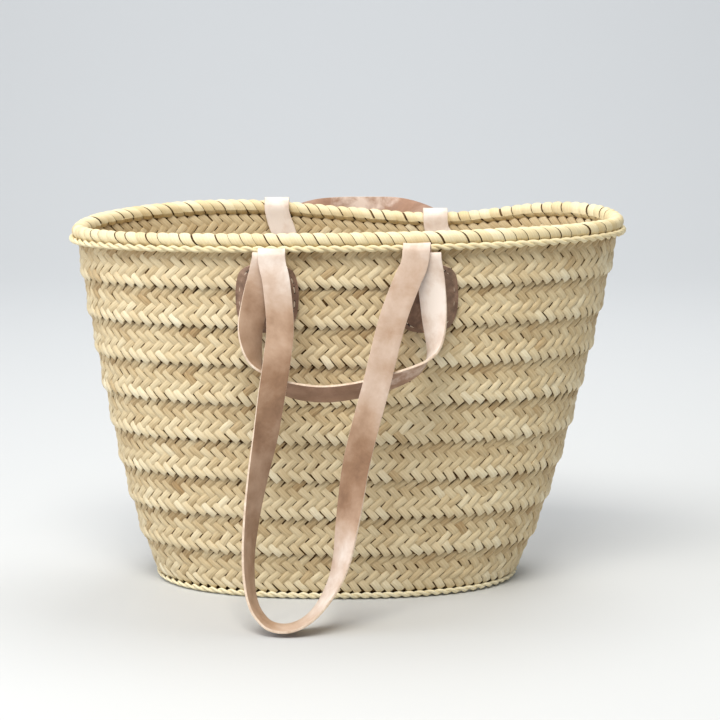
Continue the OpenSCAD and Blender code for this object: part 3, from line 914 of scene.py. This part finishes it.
SHORT_LOOP = [
    (-1.00, 3, 1.000, 0, 0), (-1.05, 3.4, 0.950, 0, 0), (-1.14, 5, 0.870, 12, 0),
    (-1.20, 9, 0.800, 32, 0), (-1.15, 12, 0.727, 58, -10), (-1.00, 13, 0.680, 76, -28),
    (-0.75, 13, 0.643, 88, -42), (-0.35, 13, 0.627, 90, -45), (0.05, 13, 0.634, 90, -45),
    (0.45, 13, 0.655, 90, -44), (0.80, 13, 0.685, 94, -38), (1.00, 12, 0.720, 102, -24),
    (1.09, 10, 0.765, 122, -8), (1.09, 6, 0.840, 152, 0), (1.05, 3.5, 0.930, 172, 0),
    (1.00, 3, 1.000, 180, 0)]
RAISED_LOOP = [
    (-1.00, 3, 1.000, 0, 0), (-1.00, 5, 0.950, 0, 0), (-0.96, 8, 0.870, 2, 0),
    (-0.85, 10, 0.790, 6, 0), (-0.69, 11, 0.725, 20, 0), (-0.47, 12, 0.675, 48, 0),
    (-0.17, 13, 0.645, 75, 0), (0.15, 13, 0.636, 90, 0), (0.45, 13, 0.652, 112, 0),
    (0.68, 12, 0.700, 140, 0), (0.84, 11, 0.770, 164, 0), (0.95, 8, 0.850, 175, 0),
    (1.00, 5, 0.940, 180, 0), (1.00, 3, 1.000, 180, 0)]
INNER_LOOP = [
    (-1.00, 0, 1.00, 0, 0), (-0.97, 0, 0.97, 0, 0), (-0.91, 1, 0.93, 0, 0),
    (-0.80, 3, 0.84, 0, 0), (-0.75, 8, 0.71, 15, 0), (-0.82, 16, 0.55, 40, 0),
    (-0.90, 24, 0.39, 65, 0), (-0.90, 30, 0.22, 80, 0), (-0.76, 34, 0.09, 88, 0),
    (-0.45, 36, 0.015, 90, 0), (-0.10, 36, 0, 90, 0), (0.25, 36, 0.015, 90, 0),
    (0.56, 34, 0.09, 92, 0), (0.76, 30, 0.22, 100, 0), (0.88, 24, 0.39, 118, 0),
    (1.00, 16, 0.55, 145, 0), (1.12, 8, 0.71, 168, 0), (1.16, 3, 0.84, 180, 0),
    (1.10, 1, 0.93, 180, 0), (1.02, 0, 0.97, 180, 0), (1.00, 0, 1.00, 180, 0)]

STEPS = 5
RIGHT_SLANT = 5.5 * MM  # the front long strap's right fold leans in by this, and stands
RIGHT_RISE = 5 * MM     # up by this, as it does where it lies over the rim cord


def tab_path(side, end, layer, turn):
    z = np.linspace(TAB_BOTTOM, FOLD_Z - 1 * MM, 12)
    path = np.zeros((len(z), 5))
    path[:, 0] = strap_x(side, end, layer)
    path[:, 1] = side * tab_y(side, end, z, layer)
    path[:, 2] = z
    path[:, 3] = turn
    return path


def fold_path(side, end, layer, bend, first, last, turn, rise=0.0):
    """The arc over the fold core, from angle first to last, in degrees from straight outwards."""
    a = np.radians(np.linspace(first, last, 10))
    path = np.zeros((len(a), 5))
    path[:, 0] = strap_x(side, end, layer)
    path[:, 1] = side * (FOLD_Y + bend * np.cos(a))
    path[:, 2] = FOLD_Z + (bend + rise) * np.sin(a)
    path[:, 3] = turn
    return path


loop_low = STRAP_THICKNESS / 2 + 0.3 * MM
front_long = smooth_path([(MOUTH_LEAN + s[0] * (FRONT_REACH - LONG_INSET),
                           -FOLD_Y - max(s[1] * MM, LONG_BEND),
                           loop_low + (FOLD_Z - loop_low) * s[2], s[3], s[4])
                          for s in LONG_LOOP], STEPS)
LAST_STEPS = 3 * STEPS
from_fold = len(front_long) - 1 - np.arange(len(front_long))
leave = np.clip((LAST_STEPS - from_fold) / LAST_STEPS, 0, 1)
front_long[:, 0] -= RIGHT_SLANT * leave ** 2 * (3 - 2 * leave)
front_short = smooth_path([(MOUTH_LEAN + s[0] * FRONT_REACH, -FOLD_Y - max(s[1] * MM, SHORT_BEND),
                            FOLD_Z * s[2], s[3], s[4]) for s in SHORT_LOOP], STEPS)
raised = smooth_path([(handle_x(1, s[0]), -FOLD_Y - max(s[1] * MM, SHORT_BEND),
                       FOLD_Z * s[2], s[3], s[4]) for s in RAISED_LOOP], STEPS)


def loop_frames(path, level=0):
    """Centres, across and face directions of a strap along its path."""
    centre = path[:, :3]
    along = np.empty_like(centre)
    along[1:-1] = centre[2:] - centre[:-2]
    along[0], along[-1] = centre[1] - centre[0], centre[-1] - centre[-2]
    along /= np.linalg.norm(along, axis=1, keepdims=True)
    turn, lift = np.radians(path[:, 3]), np.radians(path[:, 4])
    wide = np.stack((np.cos(turn) * np.cos(lift), np.sin(turn) * np.cos(lift), np.sin(lift)),
                    axis=1)
    if level:
        steps = np.arange(len(path))
        share = np.clip(np.minimum(steps, len(path) - 1 - steps) / level, 0, 1)[:, None]
    else:
        share = 1.0
    wide = wide - share * (wide * along).sum(axis=1, keepdims=True) * along
    wide /= np.linalg.norm(wide, axis=1, keepdims=True)
    face = np.cross(along, wide)
    face /= np.linalg.norm(face, axis=1, keepdims=True)
    return centre, wide, face


def with_ends(side, layer, bend, arc_last, rise=0.0, slant=0.0):
    """Frames of a strap's ends and folds. The right fold may stand up and lean in."""
    arc = (layer, bend, 178, arc_last + 4)
    first = np.vstack((tab_path(side, -1, layer, 0), fold_path(side, -1, *arc, 0)))
    last = np.vstack((tab_path(side, 1, layer, 180), fold_path(side, 1, *arc, 180, rise)))[::-1]
    last[:, 0] -= slant * np.linspace(1, 0, len(last))
    a = loop_frames(first)
    c = loop_frames(last)
    return a, c


STRAP_STEP = 3.2 * MM
WAVER = 0.21 * MM          # hide is cut by hand, so its edges waver a little
WAVER_SPACING = 31 * MM
CUP = 0.3 * MM


def strap(name, loop, ends, nodes, spots, painted_light):
    """One strap as a bent sheet with two faces and a cut edge. painted_light lists (share along,
    tone), the painted light and shade along it.
    """
    centre, wide, face = (np.concatenate([ends[0][k], loop[k], ends[1][k]]) for k in range(3))
    steps = np.linalg.norm(np.diff(centre, axis=0), axis=1)
    run = np.concatenate(([0], np.cumsum(steps)))
    length = run[-1]
    print(name, "strap length, mm:", round(length / MM))
    columns = int(length / STRAP_STEP)
    mesh, u, v = grid_sheet(columns, 4, length, STRAP_WIDTH)
    even = np.empty((len(u), 9))
    for k, source in enumerate((centre, wide, face)):
        for axis in range(3):
            even[:, k * 3 + axis] = np.interp(u * length, run, source[:, axis])
    across = even[:, 3:6] / np.linalg.norm(even[:, 3:6], axis=1, keepdims=True)
    normal = even[:, 6:9] / np.linalg.norm(even[:, 6:9], axis=1, keepdims=True)
    free = np.sin(u * math.pi) ** 0.5  # the ends are held, so they stay straight and flat
    waver = WAVER * np.sin(u * length / WAVER_SPACING + spots) * free
    cup = CUP * ((2 * v - 1) ** 2) * free
    place(mesh, even[:, :3] + across * ((v - 0.5) * (STRAP_WIDTH - 0.2 * MM))[:, None]
          + across * waver[:, None] + normal * cup[:, None])
    # a tone of painted light and shade along the strap: pale where it faces up, dark where it turns
    # down
    tone = mesh.attributes.new("painted_light", "FLOAT", "POINT")
    tone.data.foreach_set("value", np.interp(u, *zip(*painted_light)).astype(np.float32))
    piece = new_piece(name, mesh, flesh_side, grain_side, cut_edge)
    hide = thicken(piece, STRAP_THICKNESS - 0.1 * MM, 0)
    hide.material_offset = 1
    hide.material_offset_rim = 2
    round_edges(piece, 0.45 * MM)
    settle(piece)
    uv = piece.data.uv_layers["leaf"].data
    flat_uv = np.empty(len(uv) * 2)
    uv.foreach_get("uv", flat_uv)
    flat_uv[0::2] += spots * 137
    uv.foreach_set("uv", flat_uv)
    shade_smooth(piece, 40)
    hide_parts(*nodes)
    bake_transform(piece)
    return piece


# %% The four straps
# each strap's last list paints light and shade along it, pale where the hide faces up and dark
# where it turns down into shade
strap("front_long_handle_strap", loop_frames(front_long, 10),
      with_ends(-1, 0, LONG_BEND, 0, RIGHT_RISE, RIGHT_SLANT),
      ("front_long_strap", "front_long_ends"),
      1,
      [(0, 0.6), (0.06, 1.0), (0.11, 0.95), (0.15, 0.38), (0.20, 0.12), (0.38, 0.2), (0.46, 0.4),
       (0.54, 0.95), (0.6, 0.7), (0.66, 0.05), (0.69, 0.1), (0.74, 0.6), (0.86, 0.6), (0.93, 0.8),
       (1, 0.5)])
strap("front_short_handle_strap", loop_frames(front_short, 10), with_ends(-1, 1, SHORT_BEND, 0),
      ("front_short_strap", "front_short_ends"),
      2,
      [(0, 0.7), (0.14, 0.9), (0.24, 0.25), (0.34, 0.3), (0.5, 0.5), (0.68, 0.9), (0.85, 1.0),
       (1, 0.6)])

hinge = np.array((0, FOLD_Y, FOLD_Z))
swing = np.array(Matrix.Rotation(BACK_HANDLE_ANGLE, 3, "X"))
centre, wide, face = loop_frames(raised, 10)
mirror = np.array((1, -1, 1))
centre = (centre * mirror - hinge) @ swing.T + hinge
wide, face = (wide * mirror) @ swing.T, (face * mirror) @ swing.T
strap("back_short_handle_strap", (centre, wide, face),
      with_ends(1, 1, SHORT_BEND, 85),
      ("back_short_strap", "back_short_ends"),
      3,
      [(0, 0.6), (0.35, 0.4), (0.5, 1.0), (0.65, 0.4), (1, 0.6)])


def back_roll(end):
    x = handle_x(1, end)
    half_x, _ = half_sizes(WALL_TOP)
    a = np.arccos(part_power((x - MOUTH_LEAN) / half_x, OVAL_POWER / 2))
    spot = wall_point(a, ROLL_Z, ROLL_OUT)
    return np.array((float(spot[1]), ROLL_Z + float(wave(a, ROLL_Z))))


def over_rim_path(end, turn):
    """From under the patch, clear of the cord and over the roll to the inside."""
    roll = back_roll(end)
    cord = roll + np.array((CORD_OUT - ROLL_OUT, -CORD_DROP))
    z = np.linspace(TAB_BOTTOM, FOLD_Z, 12)
    y = tab_y(1, end, z, 0)
    spots = list(zip(y, z))
    for a in (0, 30, 60):
        rad = math.radians(a)
        straight = y[-1] * (1 - a / 60) + cord[0] * a / 60
        spots.append((max(straight, cord[0] + OVER_CORD * math.cos(rad)),
                      max(FOLD_Z + 5 * MM, cord[1] + OVER_CORD * math.sin(rad))))
    for a in (30, 50, 70, 90, 110, 128, 150, 176):
        rad = math.radians(a)
        spots.append((roll[0] + OVER_ROLL * math.cos(rad), roll[1] + OVER_ROLL * math.sin(rad)))
    path = np.zeros((len(spots), 5))
    path[:, 0] = handle_x(1, end)
    path[:, 1:3] = spots
    path[:, 3] = turn
    return path


def inside_y(x, z):
    places = [wall_y(x + e * STRAP_WIDTH, z, 1) for e in (-0.5, 0.5)]
    return (float(min(places)) - WALL - 2 * TWINE_RADIUS - PATCH_THICKNESS - STRAP_THICKNESS / 2
            - 4 * GAP)


INSIDE_FLOOR = BASE_TOP + STRAP_THICKNESS / 2 + GAP
left_roll, right_roll = back_roll(-1), back_roll(1)
inner = []
for s in INNER_LOOP:
    x = handle_x(1, s[0])
    top = left_roll + (right_roll - left_roll) * max(0, min(1, (s[0] + 1) / 2))
    z = INSIDE_FLOOR + (top[1] - INSIDE_FLOOR) * s[2]
    inner.append((x, min(top[0] - OVER_ROLL, inside_y(x, z)) - s[1] * MM, z, s[3], s[4]))
inner_path = smooth_path(inner, STEPS)
inner_ends = (loop_frames(over_rim_path(-1, 0)), loop_frames(over_rim_path(1, 180)[::-1]))
strap("back_long_handle_strap", loop_frames(inner_path, 10), inner_ends,
      ("back_long_strap", "back_long_ends"),
      4,
      [(0, 0.6), (0.1, 1.0), (0.25, 0.8), (0.5, 0.4), (0.75, 0.8), (0.9, 1.0), (1, 0.6)])

# %% [markdown]
# ## Patches
# An oval of thicker hide covers each pair of strap ends, and a second lies inside. Its darker
# tone is partly the hide's own and partly painted shade, as the ovals lie under the folds. The
# outer one is pressed over the ends, so it stands out in the middle and lies on the braid round
# them. Each is sewn near its edge, and each stitch sinks into a hole at both ends, drawn as a
# dark blob of painted shade.

# %% Patches and stitches
STITCH_COUNT = 20
STITCH_INSET = 8 * MM
STITCH_HALF = 2.6 * MM
STITCH_RADII = (3.0 * MM, 0.75 * MM, 0.75 * MM, 1)
HOLE_RADII = (1.1 * MM, 1.0 * MM, 0.35 * MM, 1)


def ramp(v, low, high):
    s = np.clip((v - low) / (high - low), 0, 1)
    return s * s * (3 - 2 * s)


def patch_y(side, end, u, z):
    over = ((1 - ramp(np.abs(u), STRAP_WIDTH / 2 + 3 * MM, PATCH_WIDTH / 2 - 2.5 * MM))
            * (1 - ramp(PATCH_Z - z, PATCH_HEIGHT * 0.36, PATCH_HEIGHT * 0.48)))
    low = wall_y(handle_x(side, end) + u, z, side) + COURSE_LIP + 2 * GAP
    high = tab_y(side, end, z, 1) + STRAP_THICKNESS / 2 + 3 * GAP
    return low + np.maximum(0, high - low) * over


def oval(s, a, w, h):
    return s * w / 2 * part_power(np.cos(a), 0.8), s * h / 2 * part_power(np.sin(a), 0.8)


def patch_sheet(name, side, end, w, h, y_at, nodes):
    mesh, u, v = grid_sheet(56, 10, PATCH_WIDTH * 3, PATCH_WIDTH / 2)
    px, pz = oval(v ** 0.8, u * 2 * math.pi, w, h)
    place(mesh, np.stack((handle_x(side, end) + px, side * y_at(px, PATCH_Z + pz), PATCH_Z + pz),
                         axis=1))
    uv = mesh.uv_layers["leaf"].data
    corner = np.empty(len(mesh.loops), int)
    mesh.loops.foreach_get("vertex_index", corner)
    marks = np.stack((px[corner], pz[corner]), axis=1) / MM + 50 * end + 90 * side
    uv.foreach_set("uv", marks.ravel())
    weld(mesh)
    piece = new_piece(name, mesh, patch_hide_with_painted_shade, patch_edge)

    def face_outwards(bm):
        bmesh.ops.dissolve_degenerate(bm, edges=bm.edges, dist=0.005 * MM)
        bmesh.ops.recalc_face_normals(bm, faces=bm.faces)
        if sum(face.normal.y * face.calc_area() for face in bm.faces) * side < 0:
            bmesh.ops.reverse_faces(bm, faces=bm.faces)
    edit_mesh(mesh, face_outwards)
    thicken(piece, PATCH_THICKNESS, 1).material_offset_rim = 1
    round_edges(piece, 0.6 * MM)
    settle(piece)
    shade_smooth(piece, 40)
    return finish_piece(piece, "basket", "patch_leather", *nodes)


def stitch_ring(name, side, end, node):
    bm = bmesh.new()
    for k in range(STITCH_COUNT):
        a = (k + 0.5) * 2 * math.pi / STITCH_COUNT
        w, h = PATCH_WIDTH - STITCH_INSET, PATCH_HEIGHT - STITCH_INSET
        px, pz = oval(1, a, w, h)
        qx, qz = oval(1, a + math.radians(2), w, h)
        d = Vector((qx - px, 0, qz - pz)).normalized()
        ends = []
        for s in (-STITCH_HALF, STITCH_HALF):
            ux, uz = px + d.x * s, PATCH_Z + pz + d.z * s
            depth = float(patch_y(side, end, ux, np.array(uz))) + PATCH_THICKNESS
            ends.append(Vector((handle_x(side, end) + ux, side * depth, uz)))
        middle = (ends[0] + ends[1]) / 2
        along = (ends[1] - ends[0]).normalized()
        outward = Vector((0, side, 0))
        across = along.cross(outward).normalized()
        outward = across.cross(along).normalized()
        axes = Matrix((along, across, outward)).transposed().to_4x4()
        spot = Matrix.Translation(middle + outward * 0.25 * MM) @ axes
        bmesh.ops.create_uvsphere(
            bm, u_segments=8, v_segments=8, radius=1,
            matrix=spot @ Matrix.Diagonal(STITCH_RADII) @ Matrix.Rotation(math.pi / 2, 4, "Y"))
        for s in (-1, 1):
            hole = bmesh.ops.create_uvsphere(
                bm, u_segments=8, v_segments=6, radius=1,
                matrix=Matrix.Translation(middle + along * s * 3.0 * MM) @ axes
                @ Matrix.Diagonal(HOLE_RADII))
            for face in {f for vert in hole["verts"] for f in vert.link_faces}:
                face.material_index = 1
    piece = new_piece(name, bm, linen, needle_hole_painted_shade)
    shade_smooth(piece, 80)
    return finish_piece(piece, "basket", "thread", node)


def outer_face(side, end):
    return lambda px, z: patch_y(side, end, px, z)


def inner_face(side, end):
    return lambda px, z: (wall_y(handle_x(side, end) + px, z, side) - WALL - 2 * TWINE_RADIUS
                          - PATCH_THICKNESS - 2 * GAP)


for side, row in ((-1, "front"), (1, "back")):
    for end, where in ((-1, "left"), (1, "right")):
        name = f"{row}_{where}"
        patch_sheet(f"{name}_patch_oval", side, end, PATCH_WIDTH, PATCH_HEIGHT,
                    outer_face(side, end), (f"{name}_patch",))
        patch_sheet(f"{name}_backing_oval", side, end, PATCH_WIDTH - 6 * MM, PATCH_HEIGHT - 6 * MM,
                    inner_face(side, end), (f"{name}_backing",))
        stitch_ring(f"{name}_stitch_ring", side, end, f"{name}_stitches")

# %% [markdown]
# ## Floor and light
# The floor is one pale sheet that bends up far behind the basket, so that no line shows. Soft
# light comes from a window on the left and from above, which brings out the ridges.

# %% Floor
FLOOR_WIDTH = 14.0
SWEEP_START = 2.2
SWEEP_RADIUS = 2.0
FLOOR_RUN = 12.0   # from its near edge, up to the top of the sweep
FLOOR_NEAR = 4.0   # how far it comes towards the camera
sweep, u, v = grid_sheet(1, 60, 1, 1)
run = v * FLOOR_RUN - FLOOR_NEAR
bend = np.clip((run - SWEEP_START) / SWEEP_RADIUS, 0, math.pi / 2)
beyond = np.maximum(0, run - SWEEP_START - SWEEP_RADIUS * math.pi / 2)
place(sweep, np.stack(((u - 0.5) * FLOOR_WIDTH,
                       np.minimum(run, SWEEP_START) + SWEEP_RADIUS * np.sin(bend),
                       SWEEP_RADIUS * (1 - np.cos(bend)) + beyond), axis=1))
floor_material, _, floor_shader = new_material("pale_floor", roughness=0.6)
floor_shader.inputs["Base Color"].default_value = colour("#CACBCA")
floor = new_piece("floor", sweep, floor_material)
shade_smooth(floor, 80)

# %% Light
world = bpy.data.worlds.new("studio")
world.use_nodes = True
world.node_tree.nodes["Background"].inputs["Color"].default_value = colour("#EEF2F7")
world.node_tree.nodes["Background"].inputs["Strength"].default_value = 0.42
bpy.context.scene.world = world


def soft_light(name, place_at, aim, size, power, tone="#FFFFFF"):
    light = bpy.data.lights.new(name, "AREA")
    light.shape = "RECTANGLE"
    light.size, light.size_y = size
    light.energy = power
    light.color = colour(tone)[:3]
    lamp = bpy.data.objects.new(name, light)
    lamp.location = place_at
    lamp.rotation_euler = (Vector(aim) - Vector(place_at)).to_track_quat("-Z", "Y").to_euler()
    bpy.context.scene.collection.objects.link(lamp)


soft_light("window_left", (-1.9, -0.6, 1.3), (0, 0, 0.15), (1.4, 1.4), 22, "#EEF3FF")
soft_light("high_window", (-0.4, -1.5, 2.7), (0, 0.05, 0.25), (1.8, 1.2), 82, "#FFFCF6")
soft_light("overhead", (0.4, 0.8, 2.4), (0, 0, 0.1), (1.6, 1.2), 30)
soft_light("backdrop_wash", (0, 1.6, 2.6), (0, 4.2, 0.9), (4.0, 1.0), 52, "#F0F5FF")
bpy.context.scene.view_settings.view_transform = "Standard"
